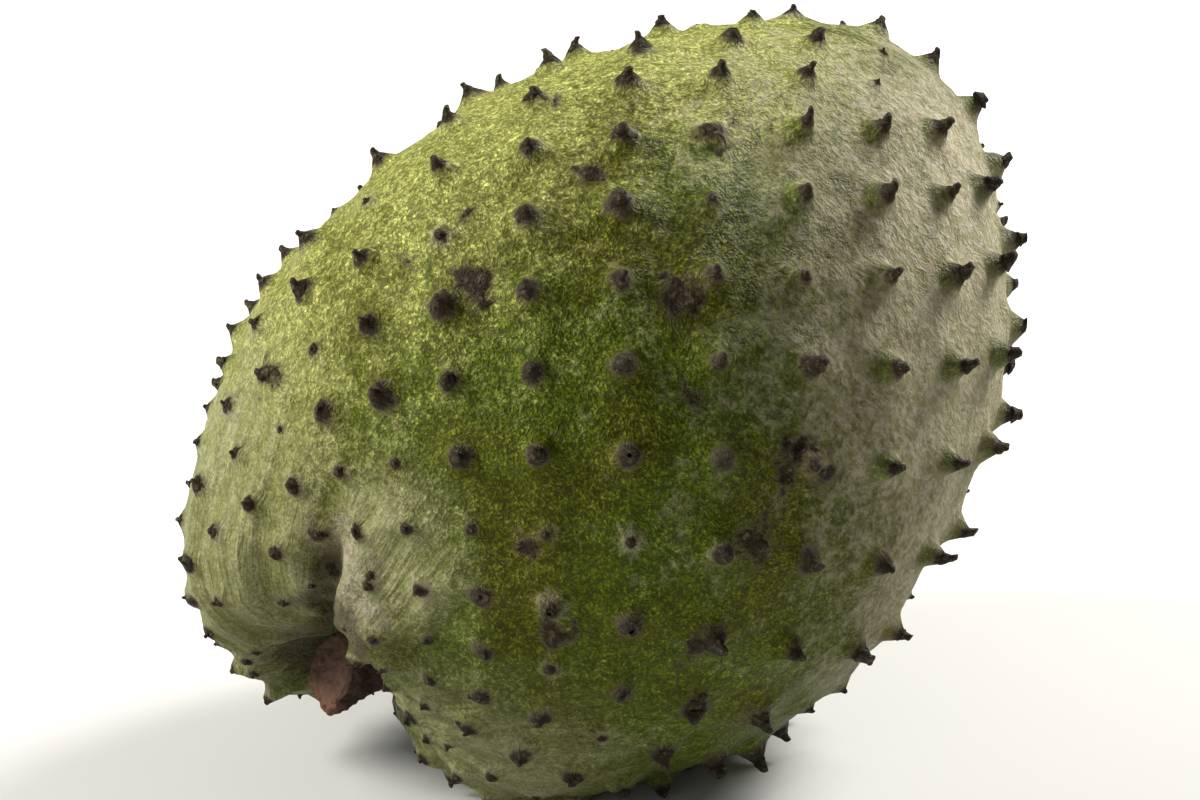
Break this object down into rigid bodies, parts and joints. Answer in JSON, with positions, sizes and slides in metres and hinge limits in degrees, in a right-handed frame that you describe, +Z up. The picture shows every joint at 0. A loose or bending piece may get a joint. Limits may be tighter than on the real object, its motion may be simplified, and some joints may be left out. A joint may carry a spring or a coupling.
{
  "type": "soursop",
  "caption": "Whole heart-shaped soursop fruit with soft curved spines and a short woody stalk stub, lying on its side on a small flat spot.",
  "frame": {"origin": "on the ground, below the middle of the bounding box, with the fruit resting on its flat spot", "axes": "+Z up from the flat spot; +X to the right as seen from the front, from the shoulders towards the nose end; +Y from the front side to the rear side"},
  "size_m": [0.1624, 0.1514, 0.145],
  "materials": {
    "skin": "pebbled matte yellow-green rind with a pale bloom, dark woody spine tips and brown scabs",
    "stalk_wood": "rough dry reddish-brown wood, paler at the cut end"
  },
  "bodies": {
    "root": {"fruit": "skin", "stalk": "stalk_wood"}
  },
  "joints": []
}
